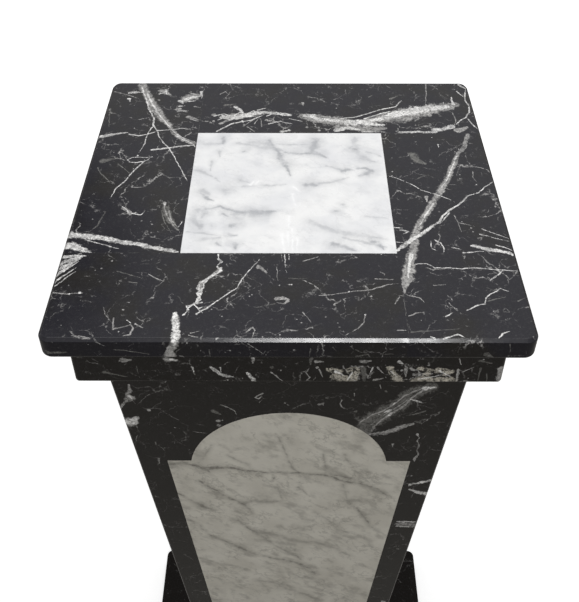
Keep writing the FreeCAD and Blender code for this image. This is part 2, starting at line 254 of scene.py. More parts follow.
BACK_STRIP = (
    (WHITE, 3, (-60, 102), (-52, 100, 5), (-42, 104, 6), (-35, 105), (-30, 110, 5), (-20, 110, 4),
     (-8.5, 108, 5), (0, 106, 4)),
    (WHITE, 1.8, (-66, 104), (-58, 108), (-50, 104), (-44, 110), (-38, 107), (-32, 113), (-24, 109)),
    (WHITE, 1.6, (-62, 98), (-54, 104), (-46, 99), (-38, 104), (-28, 103)),
    (GREY, 1.8, (-34, 96), (-26, 106)), (GREY, 9, (-56, 103), (-40, 105), (-26, 108)),
    (GREY, 1.8, (-40, 88), (-32, 98)), (WHITE, 1.6, (-20, 104), (-12, 111), (-4, 107)),
    (GREY, 3, (-20, 98), (-12, 95)), (WHITE, 1.6, (-18, 92), (-8, 96), (2, 92)),
    (WHITE, 4, (-48, 119), (-44, 115), (-41, 109)), (WHITE, 2.5, (-28, 114), (-21, 117)),
    (GREY, 4, (-66, 106)), (GREY, 3, (-66, 96)), (WHITE, 3, (-58, 105)),
    (GREY, 3, (-60, 92), (-54, 97), (-48, 100)),
    (WHITE, 2.2, (-62, 80), (-57, 85), (-50, 92), (-42, 95), (-35, 97), (-29, 101), (-22, 107)),
    (WHITE, 1.6, (-41, 97), (-39, 90)), (GREY, 1.5, (-30, 92), (-27, 100)),
    (GREY, 1.5, (-24, 88), (-25, 100)), (GREY, 1.5, (-36, 87), (-30, 80)), (WHITE, 3.5, (-7, 80), (-1, 81)),
    (WHITE, 2, (0, 100), (11, 96)), (WHITE, 4, (14, 105), (22, 107)),
    (GREY, 9, (12, 104), (25, 100, 13), (34, 97, 14), (42, 97), (50, 94, 12)),
    (WHITE, 5, (14, 105), (28, 99), (40, 97), (52, 94)),
    (WHITE, 8, (50, 94), (60, 95), (68, 92, 7), (80, 90, 4)), (GREY, 10, (56, 86), (70, 84), (82, 85)),
    (WHITE, 1.8, (45, 101), (56, 102.5), (66, 107.5), (75, 112.5), (86, 117.5), (94, 120), (97, 126),
     (100, 130)), (WHITE, 2.5, (65, 100), (78, 107.5), (88, 112), (96, 113.5)),
    (GREY, 7, (62, 95), (72, 98, 10), (84, 102, 15), (96, 105, 20), (108, 109, 20), (120, 114, 18),
     (130, 118, 15), (140, 120, 12), (147, 124, 8)),
    (WHITE, 4, (70, 97), (80, 101, 6), (92, 107, 10), (104, 112, 12), (116, 116, 12), (127, 118, 9),
     (138, 120, 6)), (WHITE, 2, (121, 120), (121, 126)), (WHITE, 2, (136, 120), (137, 127)),
    (WHITE, 3, (145, 124), (145, 136)), (GREY, 4, (123, 106)),
    (WHITE, 3, (94, 79), (100, 79), (108, 80), (115, 79), (124, 80, 4)),
    (WHITE, 5, (124, 83), (131, 84), (139, 88, 7)), (GREY, 2, (108.5, 90)), (GREY, 2, (111.5, 85)),
    (WHITE, 5, (40, 82), (50, 86), (60, 83)), (GREY, 8, (42, 86), (60, 87)),
    (WHITE, 1.8, (62, 79.5), (85, 79.5)), (GREY, 3, (15, 87)), (GREY, 3, (25, 82)), (WHITE, 3, (0, 82)),
    (WHITE, 1.8, (144, 92), (147, 97), (153, 102), (157, 110), (159, 121), (157, 130), (158, 140),
     (160, 150)), (WHITE, 2.2, (151.5, 146), (156, 137)), (WHITE, 3, (155, 158), (161, 150)),
    (GREY, 1.2, (143, 110), (144, 98), (140, 84)), (GREY, 8, (144, 82), (152, 87)),
    (WHITE, 1.5, (155, 100), (158, 90), (162, 82)), (GREY, 1.3, (125, 160), (123, 139), (121, 126)),
    (FAINT, 3, (8, 152)), (GREY, 3, (12, 126), (12, 122)), (FAINT, 2, (71, 136), (75, 140)),
    (FAINT, 3, (90, 133), (97, 138)), (GREY, 1.4, (-63, 141), (-58.5, 145), (-56, 141)),
    (FAINT, 3, (-58, 122), (-48, 124)), (FAINT, 1, (-77.5, 80), (-77.5, 160)),
)

SLAB_EDGE = (
    (GREY, 1.5, (-125, 1), (-118, 6)), (FAINT, 1.2, (-113, 9), (-100, 11), (-88, 14)),
    (FAINT, 3, (-158, 12), (-144, 12)), (GREY, 6, (-73, 1), (-75, 8), (-79, 18, 7)),
    (WHITE, 6, (-73, 0), (-73.5, 4, 3)), (FAINT, 5, (-76, 10), (-74, 17)),
    (FAINT, 1.2, (-51, 9), (-51, 17)), (GREY, 1.2, (-26, 3), (-20, 9), (-16, 13)),
    (FAINT, 1.5, (15, 8), (14, 15)), (FAINT, 1.4, (29, 6), (32, 11)),
    (FAINT, 1.5, (46, 15), (52, 13), (54, 17)), (FAINT, 1, (60, 13), (70, 13)),
    (FAINT, 1.5, (98, 18), (100, 13)), (FAINT, 1.4, (143, 3), (144, 11)), (FAINT, 4, (129, 13), (134, 16)),
)

NECK_UPPER = (
    (GREY, 5, (-113, 35), (-107, 35)), (GREY, 6, (-82, 34), (-76, 35)), (WHITE, 3, (-80, 34), (-76, 35)),
    (GREY, 3, (-24, 33), (-24, 38)), (FAINT, 3, (16, 33), (15, 39)), (GREY, 3, (19, 36), (24, 36)),
    (GREY, 4, (50, 36), (56, 35)), (WHITE, 3.5, (76, 36), (78, 38)), (GREY, 1.5, (116, 33), (118, 39)),
    (FAINT, 3, (130, 35), (139, 37)),
)

NECK_COLLAR = (
    (WHITE, 2.6, (-66, 42), (-65, 47)), (FAINT, 1.6, (-65, 47), (-64, 52)),
    (WHITE, 2.5, (-53, 42), (-50, 45, 3.5), (-47, 49, 3), (-42, 51), (-38, 52)),
    (WHITE, 2, (-46.5, 42), (-46, 47)), (WHITE, 3, (-28, 48), (-25.5, 53, 4), (-24, 57, 4)),
    (GREY, 1.5, (-12, 47), (-8, 51), (-4, 57)), (FAINT, 3, (-11, 42)), (GREY, 2, (-5, 45)),
    (FAINT, 1, (-104, 41), (-103, 55)), (GREY, 1.2, (-105, 57)), (FAINT, 2.5, (-128, 47), (-112, 52)),
    (GREY, 1.2, (15, 42), (12, 47), (15, 52), (11, 57)), (GREY, 1.4, (21, 44), (24, 52)),
    (GREY, 2.5, (20, 42)), (CREAM, 5, (28, 44), (35, 46, 6), (32, 52, 7), (40, 54, 7)),
    (CREAM, 6, (42, 45), (47, 44, 5), (44, 54, 7)), (WHITE, 3, (33, 46), (38, 50)),
    (WHITE, 2.5, (44, 47), (41, 55)), (FAINT, 4, (52, 43), (53, 57)), (WHITE, 1.5, (58, 42), (55, 52)),
    (GREY, 2, (61, 42), (66, 48)), (GREY, 3, (60, 55), (66, 53)),
    (CREAM, 5, (70, 43), (72, 48), (76, 54, 7), (79, 57, 4)), (WHITE, 2, (71, 46), (75, 51)),
    (WHITE, 2.5, (78, 45)), (GREY, 3, (81, 42), (81, 51)), (CREAM, 4, (90, 43), (97, 45, 5), (94, 50, 4)),
    (CREAM, 6, (103, 44), (112, 46, 5), (107, 50)),
    (CREAM, 7, (88, 56), (96, 52, 5), (99, 56, 7), (107, 54, 5), (114, 55, 7)),
    (WHITE, 2, (91, 54), (104, 50)), (WHITE, 2.5, (104, 45), (112, 51)), (GREY, 3, (87, 49), (99, 48)),
    # The grey route at x 146 to 147 is a painted highlight on the neck's right front corner, not a vein.
    (GREY, 3, (117, 44), (117, 56)), (GREY, 5, (146, 43), (147, 56, 5)), (GREY, 1.2, (120, 46), (127, 41)),
    (FAINT, 2, (132, 42), (132, 56)), (FAINT, 1.5, (137, 48), (138, 56)),
)

FRONT_FACE = (
    # head
    (GREY, 2.5, (-117, 25), (-117, 33, 3), (-120, 36), (-118, 41, 8), (-123, 46, 3.5), (-127, 55, 2)),
    (WHITE, 3, (-119, 39), (-117, 42)), (WHITE, 2, (-117, 25)), (GREY, 1, (-116, 46), (-113, 53)),
    (WHITE, 11, (-121, 71), (-116, 67)), (GREY, 8, (-122, 75), (-117, 74)), (WHITE, 3, (-106, 57)),
    (GREY, 1.5, (-118, 78), (-118, 88), (-120, 94), (-122, 104)), (FAINT, 2, (-90, 31)),
    (GREY, 1.2, (-89, 80), (-80, 83.5), (-70, 87), (-64, 88.5)),
    (FAINT, 1.2, (-82, 86), (-79, 92), (-79, 100)),
    (GREY, 2, (-51, 50), (-45, 53.5), (-41, 57), (-39.5, 63)), (FAINT, 4, (-57, 58), (-52, 62)),
    (GREY, 1.2, (-56, 64), (-52, 69)), (GREY, 4, (-54.5, 71)), (GREY, 2.5, (-51, 70)), (GREY, 4, (-54, 77)),
    (FAINT, 2, (-106, 100), (-106, 108)),
    (GREY, 2, (-19, 35), (-22, 37), (-24.5, 40), (-22, 41.5), (-20, 38)),
    (GREY, 1.3, (-20, 43), (-22.5, 47)), (GREY, 2, (-2.5, 47)), (FAINT, 2.5, (0, 50)), (FAINT, 2, (9, 50)),
    (GREY, 2.5, (23, 49), (26, 47), (26, 51)), (FAINT, 3, (29, 40)),
    (GREY, 1.4, (40, 43), (38.5, 48), (41, 53), (45, 55)), (GREY, 1.4, (49, 35), (49, 38)),
    (FAINT, 2.5, (48, 43)), (FAINT, 3, (51, 58)), (GREY, 1.5, (67, 24), (68, 29)), (FAINT, 2.5, (72, 32)),
    (WHITE, 5, (100, 28), (107, 27)),
    (FAINT, 12, (104, 27), (93, 34, 15), (86, 45, 14), (79, 54, 16), (70, 63, 20), (62, 72, 20),
     (59, 82, 14), (62, 90, 6)),
    (GREY, 2.6, (108, 27), (99, 31), (92, 40), (88, 49), (81, 58), (72, 68), (66, 79), (64, 88)),
    (GREY, 2, (97, 29), (87, 37), (80, 47), (73, 56), (63, 63), (56, 71), (53, 79)),
    (GREY, 1.6, (89, 43), (80, 54), (70, 66), (61, 80)), (FAINT, 4, (84, 44), (74, 58), (60, 76)),
    (WHITE, 2, (91, 42), (96, 44, 2.5), (100, 46)), (FAINT, 1.4, (100, 43), (108, 42)),
    (FAINT, 1.4, (100, 47), (107, 45)),
    (GREY, 3, (64, 89), (74, 87, 5), (82, 83, 6), (88, 78, 5), (96, 74, 3)),
    (FAINT, 3, (98, 71), (104, 74)), (WHITE, 2, (80, 47), (78, 51)), (WHITE, 3, (77, 56), (73, 59)),
    (WHITE, 3, (78, 61), (76, 64)), (WHITE, 2, (69, 62)), (GREY, 1.6, (70, 90), (71.5, 98)),
    (FAINT, 2.5, (104, 57), (97, 61), (90, 63)), (GREY, 1.8, (107, 68), (103, 74), (101, 80)),
    (WHITE, 3, (101, 89)),
    (GREY, 2, (101, 89), (103, 93), (102, 98), (104, 105), (103, 112), (105, 118), (102, 124, 3),
     (103, 129)), (FAINT, 1.3, (95, 92), (94.5, 98), (95.5, 108)), (GREY, 2.6, (83, 103), (83, 107)),
    (FAINT, 1.2, (80, 91), (86, 91)), (FAINT, 1.2, (115, 68), (122, 68)),
    (FAINT, 1.2, (115, 72), (122, 72)),
    # right stile
    (GREY, 3, (102.5, 151)), (WHITE, 3.5, (103, 165), (110, 162, 4), (119, 158, 4)),
    (WHITE, 2.5, (102, 165), (102, 171)), (WHITE, 3, (103, 173), (109, 177, 4.5), (118, 180, 6)),
    (GREY, 1.5, (95.5, 218), (96, 226), (97, 234)), (GREY, 7, (99, 233.5), (114, 235, 7)),
    (WHITE, 3, (97, 229), (115, 230, 3)), (WHITE, 3, (97, 238), (115, 239, 3)),
    (WHITE, 1.5, (98, 230), (104, 230)), (WHITE, 1.5, (98, 237), (103, 238)),
    (FAINT, 2, (95, 256), (98, 261)), (FAINT, 2.5, (105, 261)), (FAINT, 4, (102, 282)),
    (FAINT, 3, (98, 287), (93, 291)), (WHITE, 5, (97, 399), (105, 398)), (GREY, 2, (85, 400), (93, 404)),
    # left stile
    (GREY, 3, (-106, 125), (-106, 132)), (FAINT, 1.5, (-107, 132), (-108, 142)),
    (FAINT, 1.5, (-112, 233), (-105, 236), (-99, 236)), (GREY, 2.5, (-104, 379), (-96, 376), (-90, 377)),
    (FAINT, 3, (-103, 348)), (FAINT, 3, (-101, 285)),
)

FRONT_PANEL = (
    (WHITE, 3, (-97, 133), (-86, 132), (-76, 136), (-70, 141, 4), (-66, 145, 2)),
    (WHITE, 2.5, (-70, 139), (-60, 137.5), (-50, 139.5), (-40, 142), (-30, 144), (-20, 146)),
    (WHITE, 2, (-44, 141), (-30, 144), (-20, 146), (-6, 146), (8, 147), (20, 149)),
    (WHITE, 3, (-68, 141), (-52, 138), (-40, 142)),
    (WHITE, 1.2, (-14, 147), (-12, 152), (-13, 157), (-15, 164)),
    (WHITE, 1.5, (-12, 147), (0, 146), (10, 147), (20, 149, 2.2), (30, 149.5), (36, 153), (42, 157),
     (50, 161), (58, 163), (66, 166), (76, 172), (82, 180), (88, 188)),
    (WHITE, 1.6, (34, 149), (45, 152), (52, 155), (60, 160), (72, 168)),
    (GREY, 1.5, (64, 160), (80, 163), (92, 166)), (GREY, 2, (-50, 120), (-42, 127), (-34, 133), (-30, 140)),
    (GREY, 2, (-62, 105), (-66, 116), (-70, 126)),
    (GREY, 1.6, (-10, 90), (-5, 105), (-2, 120), (0, 130), (4, 140), (8, 146)),
    (GREY, 2, (28, 118), (30, 132), (31, 147)), (GREY, 2.4, (45, 118), (48, 128), (55, 140)),
    (GREY, 4, (64, 143), (68, 147)),
    (WHITE, 2.2, (-75, 160), (-70, 167), (-63, 175), (-55, 185), (-47, 192), (-40, 198), (-35, 207)),
    (GREY, 2.2, (-35, 207), (-33, 216), (-31, 225)),
    (WHITE, 2, (-97, 178), (-92, 185), (-82, 196), (-73, 205, 3.5), (-66, 210)),
    (GREY, 4, (-40, 196), (-30, 193), (-20, 194), (-8, 194, 2), (-2, 192)),
    (WHITE, 2, (-90, 226), (-82, 235), (-78, 246), (-73, 255), (-65, 263), (-55, 271, 2.5),
     (-45, 281, 3.5), (-38, 290, 3), (-28, 295, 2.5), (-15, 302), (-5, 306, 3), (3, 309), (12, 316),
     (20, 323), (25, 333), (27, 340)),
    (WHITE, 3, (-45, 228), (-40, 234, 2.4), (-36, 244), (-28, 252), (-22, 262), (-15, 273), (-8, 282),
     (0, 290), (8, 298), (12, 306, 1.5)),
    (GREY, 3, (-28, 250), (-18, 252), (-8, 258), (0, 264), (12, 268), (25, 270), (35, 275), (45, 283),
     (52, 291), (62, 297)), (GREY, 4, (52, 193), (60, 192), (66, 197)),
    (WHITE, 2, (54, 198), (60, 206), (66, 218), (70, 228), (74, 238), (80, 245), (86, 252)),
    (GREY, 2.4, (23, 213), (30, 220), (38, 230), (45, 240), (50, 248), (58, 252), (68, 258), (73, 265),
     (76, 275), (80, 283)), (GREY, 2, (46, 165), (48, 178), (50, 190)),
    (GREY, 2, (-10, 165), (-8, 180), (-5, 190)), (GREY, 2.2, (8, 170), (18, 185)),
    (WHITE, 2, (-85, 303), (-75, 309), (-62, 315), (-50, 320)),
    (GREY, 2.4, (-50, 320), (-40, 330), (-30, 336)), (GREY, 2, (-8, 238), (-2, 246)), (GREY, 5, (12, 243)),
    (GREY, 5, (-28, 265)),
    (GREY, 3, (-30, 350), (-15, 355), (-5, 368), (5, 375), (12, 380, 4), (20, 385), (27, 393), (28, 403)),
    (GREY, 2.4, (-10, 325), (-7, 340), (-5, 355)), (GREY, 2.4, (-27, 358), (-22, 368), (-20, 378)),
    (GREY, 3, (20, 345), (28, 352), (38, 362), (48, 368)), (GREY, 3, (-75, 365), (-70, 375), (-65, 385)),
    (GREY, 4, (-80, 395), (-65, 395)), (GREY, 3, (48, 404), (50, 395), (62, 385), (70, 388)),
)

INLAY = (
    # back edge and the long diagonal
    (GREY, 3, (-77, 63), (-66, 61), (-55, 62)), (WHITE, 3, (-55, 70), (-55, 62)),
    (GREY, 2.5, (-58, 50), (-57, 42)), (GREY, 2.5, (-44, 62), (-32, 60), (-22, 57, 4), (-13, 55), (-5, 51)),
    (GREY, 1.5, (-10, 61), (3, 60), (16, 60)),
    (WHITE, 2, (-17, 67), (-13, 58), (-9, 50), (-7, 42, 3.5), (-4, 34), (-1, 25, 2), (1, 16)),
    (GREY, 5, (-30, 64), (-18, 60), (-10, 52)),
    (WHITE, 2, (-3, 49), (4, 47), (11, 47), (19, 49, 3), (24, 46), (30, 42)),
    (WHITE, 3.5, (22, 68), (21, 62), (20, 57), (19, 51)), (GREY, 5, (19, 55), (20, 50)),
    (GREY, 3, (55, 70), (54, 60), (55, 52, 4), (59, 44), (62, 39), (69, 35)),
    (WHITE, 2.5, (51, 54), (56, 53)), (GREY, 2, (64, 50), (70, 47), (75, 43)), (WHITE, 2, (-38, 50)),
    # right side
    (WHITE, 2.5, (43, 23), (47, 25), (52, 24)),
    (WHITE, 2, (55, 27), (61, 27), (66, 23, 3), (62, 19), (56, 16)),
    (WHITE, 3.5, (14, 4), (18, 5), (22, 3)), (GREY, 2.5, (24, 6), (32, 8), (40, 11), (47, 14)),
    (GREY, 2, (30, 30), (38, 26), (44, 24)), (WHITE, 2.5, (41, -21)), (WHITE, 2.5, (36, -29)),
    (GREY, 2, (58, -35), (74, -38)), (GREY, 3, (16, -42), (28, -50), (42, -55), (56, -58), (70, -62)),
    (GREY, 2, (40, -60), (56, -66), (70, -70)), (WHITE, 3, (32, -67), (40, -70), (48, -75)),
    (WHITE, 2, (60, -65), (65, -65), (67, -70), (68, -73)),
    # left side and front
    (GREY, 2, (-63, 36), (-63, 23)), (GREY, 2.5, (-75, 24), (-68, 20), (-61, 15)),
    (GREY, 1.5, (-58, 13), (-54, 8)), (GREY, 2, (-36, 2), (-24, 3), (-12, 3), (-3, 5)),
    (GREY, 2.5, (-38, 10), (-30, 6)), (GREY, 4, (-50, -4), (-49, -9)),
    (WHITE, 2.5, (-69, -7), (-66, -11), (-62, -14), (-58, -16)), (GREY, 4, (-68, -3), (-62, -8)),
    (WHITE, 2, (-63, -26), (-57, -25), (-52, -23), (-48, -26), (-44, -28), (-38, -31), (-30, -30, 3),
     (-18, -31), (-10, -29)), (GREY, 5, (-40, -33), (-28, -32), (-14, -32)),
    (WHITE, 3, (-64, -33), (-65, -37)), (WHITE, 2, (-50, -32), (-46, -36)), (WHITE, 3, (-66, -47)),
    (WHITE, 2.5, (-58, -47)), (WHITE, 3.5, (-42, -46)), (WHITE, 2.5, (-44, -57), (-38, -57)),
    (WHITE, 2.5, (-53, -67), (-49, -70)), (WHITE, 3, (-39, -69), (-39, -73)),
    (GREY, 1.5, (-75, -54), (-60, -56), (-45, -59)), (GREY, 3, (-70, -28), (-72, -40), (-66, -50)),
    (GREY, 3, (-62, -62), (-50, -60)),
    # bright crystal streaks
    (FAINT, 2, (-30, 4), (-28, 9)), (FAINT, 2, (-26, 5), (-24, 9)), (FAINT, 2, (3, 2), (8, -5)),
    (FAINT, 2, (2, -8), (5, -22)), (FAINT, 2, (-5, -56), (-3, -77)), (FAINT, 1.5, (2, -50), (3, -76)),
    (FAINT, 1.5, (0, -36), (0, -50)), (FAINT, 1.5, (-1, -54), (0, -70)), (FAINT, 1.2, (6, -60), (6, -76)),
)


# ------------------------------------------------------------------ where a route's points lie in space
def on_top(x, y):
    """A point on the top face."""
    return Vector((x, y, TOP_LEVEL))


def on_slab_edge(x, down):
    """A point on the front edge of the top."""
    return Vector((x, -TOP_HALF, TOP_LEVEL - down))


def on_neck(x, down):
    """A point on the front of the neck, measured down from the top face."""
    return Vector((x, -NECK_HALF, TOP_LEVEL - down))


def on_shaft(x, down):
    """A point on the leaning front of the shaft, measured down the slope."""
    share = down / FACE_LENGTH
    return Vector((x, share * SHAFT_LEAN - HEAD_HALF, SHAFT_TOP - share * SHAFT_RISE))


def turned(place, quarters):
    """The same placing rule on a side that lies so many quarter turns round from the front."""
    spin = Matrix.Rotation(quarters * math.pi / 2, 3, "Z")
    return lambda across, down: spin @ place(across, down)


def stretches(routes, place):
    """Cuts routes into straight stretches by tone: (start, run, half width, change of half width).

    A route's last point is narrower unless it carries a width.
    """
    spot = Vector((0.02, 0, 0))
    found = {tone: [] for tone in TONES}
    for tone, width, *points in routes:
        previous = None
        half = half_width(width)
        for number, (across, down, *wider) in enumerate(points, start=1):
            now = half_width(wider[0]) if wider else half
            here = place(across, down)
            if previous:
                if number == len(points) and not wider:
                    now *= TAPER
                found[tone].append((previous, here - previous, half, now - half))
            elif len(points) == 1:
                found[tone].append((here, spot, now, 0))
            previous, half = here, now
    return found


def half_width(width):
    """Half of a vein's width. Thin veins are drawn a little thinner than their routes say."""
    return width / 2 * (THIN_SHARE if width < THIN_VEIN else 1)


def merged(*groups):
    """Several sets of stretches as one."""
    return {tone: sum((group[tone] for group in groups), []) for tone in TONES}


def drifting_veins(seed, width, length, count, slope, steps=(1, 7), bend=0.35):
    """Routes for a side that isn't seen in the reference: broken veins that drift down at a slope."""
    draw = random.Random(seed)
    routes = []
    for _ in range(count):
        across = draw.uniform(-width / 2, width / 2)
        down = draw.uniform(0, length)
        heading = slope + draw.gauss(0, 0.45)
        tone = draw.choice((WHITE, GREY, GREY, FAINT))
        thick = draw.choice((1.2, 1.2, 1.5, 2, 4)) * draw.uniform(0.8, 1.4)
        points = []
        for _ in range(draw.randint(*steps)):
            points.append((across, down, thick * draw.uniform(0.6, 1.3)))
            step = draw.uniform(6, 15)
            across += step * math.cos(heading)
            down += step * math.sin(heading)
            heading += draw.gauss(0, bend)
        routes.append((tone, thick, *points))
    return routes


def below(routes, depth):
    """The routes that begin more than so far down."""
    return [route for route in routes if route[2][1] > depth]


# ------------------------------------------------------------------ node building
def add_node(tree, kind, inputs, settings):
    """Adds a node to a tree, sets it up, and links or sets its inputs."""
    made = tree.nodes.new(kind)
    for key, value in settings.items():
        setattr(made, key, value)
    for key, value in inputs.items():
        if isinstance(value, bpy.types.NodeSocket):
            tree.links.new(value, made.inputs[key])
        else:
            made.inputs[key].default_value = value
    return made


class Recipe:
    """A node material that is put together one step at a time. Lengths in it are in mm."""

    def __init__(self, name, shift=(0, 0, 0)):
        self.material = bpy.data.materials.new(name)
        self.material.use_nodes = True
        self.tree = self.material.node_tree
        self.tree.nodes.clear()
        objects = self.node("ShaderNodeTexCoord").outputs["Object"]
        self.place = self.vector("SCALE", objects, scale=1 / MM)
        self.grain = self.vector("ADD", self.place, shift)

    def node(self, kind, inputs=None, **settings):
        """Adds a node to the material."""
        return add_node(self.tree, kind, inputs or {}, settings)

    def math(self, operation, *values):
        """One number worked out from others."""
        return self.node("ShaderNodeMath", dict(enumerate(values)), operation=operation).outputs[0]

    def vector(self, operation, *values, scale=None):
        """One vector, or a vector's measure, worked out from others."""
        inputs = dict(enumerate(values))
        if scale is not None:
            inputs["Scale"] = scale
        made = self.node("ShaderNodeVectorMath", inputs, operation=operation)
        return made.outputs["Value" if operation in ("DISTANCE", "DOT_PRODUCT", "LENGTH") else "Vector"]

    def noise(self, place, size, detail=3, roughness=0.55, colour=False):
        """Noise whose lumps are about so many mm across."""
        inputs = {"Vector": place, "Scale": 1 / size, "Detail": detail, "Roughness": roughness}
        return self.node("ShaderNodeTexNoise", inputs).outputs[1 if colour else 0]

    def cells(self, place, size, feature="DISTANCE_TO_EDGE"):
        """Cells about so many mm across: the distance to their edges, or to their middles."""
        inputs = {"Vector": place, "Scale": 1 / size}
        return self.node("ShaderNodeTexVoronoi", inputs, feature=feature).outputs["Distance"]

    def ramp(self, value, start, end, low=0, high=1):
        """Goes smoothly from low to high while value goes from start to end."""
        inputs = {0: value, 1: start, 2: end, 3: low, 4: high}
        return self.node("ShaderNodeMapRange", inputs, interpolation_type="SMOOTHSTEP").outputs[0]

    def mix(self, share, first, second):
        """A colour between two colours."""
        inputs = {0: share, 6: opaque(first), 7: opaque(second)}
        return self.node("ShaderNodeMix", inputs, data_type="RGBA").outputs[2]

    def wandered(self, place, amount, size, detail=3):
        """The place, moved about by noise."""
        drift = self.vector("SUBTRACT", self.noise(self.grain, size, detail, colour=True), (0.5, 0.5, 0.5))
        return self.vector("ADD", place, self.vector("SCALE", drift, scale=amount))

    def nearest(self, place, found):
        """How far place is from the nearest stretch, as a share of that stretch's half width."""
        best = NO_VEIN
        for start, run, half, widening in found:
            inputs = {"Place": place, "Start": start, "Run": run, "Share": 1 / run.length_squared,
                      "Half width": half, "Widening": widening, "Nearest": best}
            best = self.node("ShaderNodeGroup", inputs, node_tree=vein_stretch()).outputs["Nearest"]
        return best

    def finish(self, colour, roughness, height, lift, **constants):
        """Ends the material in a shader and returns it. Height is in mm times lift."""
        relief = self.node("ShaderNodeBump", {"Height": height, "Distance": lift * MM, "Strength": 1.0})
        inputs = {"Base Color": colour, "Roughness": roughness, "Normal": relief.outputs[0], **constants}
        shader = self.node("ShaderNodeBsdfPrincipled", inputs)
        self.node("ShaderNodeOutputMaterial", {"Surface": shader.outputs[0]})
        return self.material


def opaque(colour):
    """A plain colour with its alpha, or a socket as it is."""
    if isinstance(colour, bpy.types.NodeSocket):
        return colour
    return (*colour, 1.0)


def vein_stretch():
    """The node group that measures how far a place is from one straight stretch of vein.

    The distance is a share of the half width, and the least of it and the nearest so far is kept.
    """
    name = "Vein stretch"
    if name in bpy.data.node_groups:
        return bpy.data.node_groups[name]
    group = bpy.data.node_groups.new(name, "ShaderNodeTree")
    for label in ("Place", "Start", "Run"):
        group.interface.new_socket(label, in_out="INPUT", socket_type="NodeSocketVector")
    for label in ("Share", "Half width", "Widening", "Nearest"):
        group.interface.new_socket(label, in_out="INPUT", socket_type="NodeSocketFloat")
    group.interface.new_socket("Nearest", in_out="OUTPUT", socket_type="NodeSocketFloat")
    given = group.nodes.new("NodeGroupInput").outputs
    result = group.nodes.new("NodeGroupOutput")

    def step(kind, operation, *sources):
        return add_node(group, kind, dict(enumerate(sources)), {"operation": operation})

    vector, number = "ShaderNodeVectorMath", "ShaderNodeMath"
    offset = step(vector, "SUBTRACT", given["Place"], given["Start"]).outputs["Vector"]
    along = step(vector, "DOT_PRODUCT", offset, given["Run"]).outputs["Value"]
    unbound = step(number, "MULTIPLY", along, given["Share"]).outputs[0]
    limit = group.nodes.new("ShaderNodeClamp")
    group.links.new(unbound, limit.inputs["Value"])
    share = limit.outputs[0]
    scaled = step(vector, "SCALE", given["Run"])
    group.links.new(share, scaled.inputs["Scale"])
    apart = step(vector, "DISTANCE", offset, scaled.outputs["Vector"]).outputs["Value"]
    half = step(number, "MULTIPLY_ADD", share, given["Widening"], given["Half width"]).outputs[0]
    edge = step(number, "DIVIDE", apart, half).outputs[0]
    least = step(number, "MINIMUM", edge, given["Nearest"]).outputs[0]
    group.links.new(least, result.inputs[0])
    return group


# ------------------------------------------------------------------ stones
def black_marble(name, found, shift, cool=False, edge_highlight=False, shine=0.31, worn=1.0):
    """Polished black marble: placed veins over fine scratches, hairlines and specks, and where asked a
    painted highlight on the shaft's upright edges.
    """
    stone = bpy.context.scene.pedestal_stone
    recipe = Recipe(name, shift)
    grain = recipe.grain

    cloud = recipe.noise(grain, 45, 4)
    fleck = recipe.noise(grain, 2.2, 5, 0.75)
    ground = stone.black if cool else stone.black_warm
    colour = recipe.mix(recipe.ramp(cloud, 0.42, 0.66), ground, stone.black_warm)
    colour = recipe.mix(recipe.ramp(fleck, 0.48, 0.78, 0, 0.55), colour, stone.fleck)
    colour = scratched(recipe, colour, stone, worn)

    # Placed veins: ragged edges, streaks along them, light that comes and goes, and a cracked body.
    wander = recipe.wandered(recipe.place, 2.2, 6, 4)
    ragged = recipe.math("SUBTRACT", recipe.noise(grain, 5, 7, 0.82), 0.5)
    ragged = recipe.math("MULTIPLY", ragged, BLACK_FRAY)
    passing = recipe.ramp(recipe.noise(grain, 11, 2), 0.34, 0.55, 0.7, 1.0)
    mottle = recipe.ramp(recipe.noise(grain, 1.8, 5, 0.85), 0.41, 0.53, 0.3, 1.0)
    cracks = recipe.ramp(recipe.cells(recipe.wandered(grain, 9, 5, 4), 8.5), 0.0, 0.08, 0.6, 1.0)
    light = recipe.math("MULTIPLY", recipe.math("MULTIPLY", passing, mottle), cracks)
    veined = {
        WHITE: stone.vein_white,
        CREAM: stone.vein_cream,
        GREY: stone.vein_grey_and_highlight,
        FAINT: stone.vein_faint,
    }
    for tone in TONES:
        if found[tone]:
            edge = recipe.math("ADD", recipe.nearest(wander, found[tone]), ragged)
            mask = recipe.ramp(edge, FADE_END, FADE_START)
            across = recipe.math("MULTIPLY", edge, STREAK_STEP)
            across = recipe.node("ShaderNodeCombineXYZ", {0: across}).outputs[0]
            streak = recipe.noise(recipe.vector("ADD", grain, across), 9, 5, 0.75)
            streak = recipe.ramp(streak, 0.38, 0.52, 0.4, 1.0)
            strength = recipe.math("MULTIPLY", recipe.math("MULTIPLY", mask, light), streak)
            if tone == CREAM:
                chips = recipe.ramp(recipe.noise(grain, 4.5, 4, 0.8), 0.42, 0.48, 0.1, 1.0)
                strength = recipe.math("MULTIPLY", strength, chips)
            colour = recipe.mix(strength, colour, veined[tone])

    if edge_highlight:
        # A painted highlight along the upright edges of the shaft, broken up by the flecks. The edges lie
        # where the distances from both middle planes are equal.
        plain = recipe.vector("ABSOLUTE", recipe.place)
        parts = recipe.node("ShaderNodeSeparateXYZ", {0: plain}).outputs
        apart = recipe.math("ABSOLUTE", recipe.math("SUBTRACT", parts["X"], parts["Y"]))
        painted_highlight = recipe.math("MULTIPLY", recipe.ramp(apart, 1.6, 0.5), recipe.ramp(fleck, 0.35, 0.6))
        colour = recipe.mix(recipe.math("MULTIPLY", painted_highlight, 0.35), colour, stone.vein_grey_and_highlight)

    polish = recipe.ramp(recipe.noise(grain, 22, 3), 0.3, 0.7, stone.polish * 0.8, stone.polish * 1.25)
    return recipe.finish(colour, polish, fleck, lift=0.008, **{"Specular IOR Level": shine})


